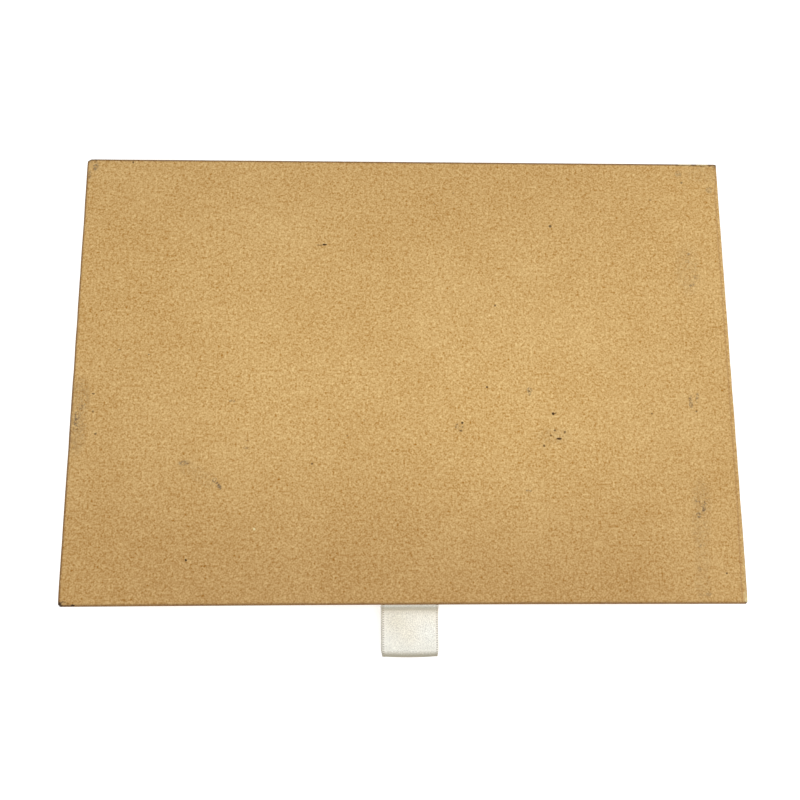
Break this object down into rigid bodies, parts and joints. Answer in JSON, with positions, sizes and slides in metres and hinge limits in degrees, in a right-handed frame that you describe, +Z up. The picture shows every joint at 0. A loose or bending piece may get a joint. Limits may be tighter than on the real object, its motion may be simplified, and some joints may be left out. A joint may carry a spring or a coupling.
{
  "type": "sliding drawer gift box",
  "caption": "Flat kraft-covered greyboard sleeve, open at the front, with a shallow tray that slides out on a folded satin ribbon pull.",
  "frame": {"origin": "centre of the sleeve's underside, on the surface that the box stands on", "axes": "+X to the right along the long side, -Y out of the mouth where the ribbon is, +Z up"},
  "size_m": [0.3, 0.2306, 0.05],
  "materials": {
    "greyboard": "matt",
    "kraft_paper": "matt, lightly calendered",
    "gummed_tape": "matt",
    "satin_ribbon": "satin sheen"
  },
  "bodies": {
    "sleeve": {"sleeve_top_board": "greyboard", "sleeve_base_board": "greyboard", "sleeve_left_board": "greyboard", "sleeve_right_board": "greyboard", "sleeve_back_board": "greyboard", "sleeve_edge_tape_top_left": "gummed_tape", "sleeve_edge_tape_top_right": "gummed_tape", "sleeve_edge_tape_bottom_left": "gummed_tape", "sleeve_edge_tape_bottom_right": "gummed_tape", "sleeve_wrap": "kraft_paper", "sleeve_base_sheet": "kraft_paper", "sleeve_back_sheet": "kraft_paper"},
    "drawer": {"tray_base_board": "greyboard", "tray_front_board": "greyboard", "tray_back_board": "greyboard", "tray_left_board": "greyboard", "tray_right_board": "greyboard", "tray_corner_tape_front_left": "gummed_tape", "tray_corner_tape_front_right": "gummed_tape", "tray_corner_tape_back_left": "gummed_tape", "tray_corner_tape_back_right": "gummed_tape", "tray_wrap": "kraft_paper", "tray_base_sheet": "kraft_paper", "tray_floor_liner": "kraft_paper", "ribbon_tails": "satin_ribbon"},
    "ribbon_tab": {"ribbon_loop": "satin_ribbon"}
  },
  "joints": [
    {"name": "drawer_slide", "type": "slide", "parent": "sleeve", "child": "drawer", "axis": [0, -1, 0], "range_m": [0, 0.2]},
    {"name": "ribbon_crease", "type": "hinge", "parent": "drawer", "child": "ribbon_tab", "pos_m": [0.003, -0.1068, 0.02245], "axis": [-1, 0, 0], "range_deg": [-70, 70], "stiffness_Nm_per_rad": 0.0012}
  ]
}
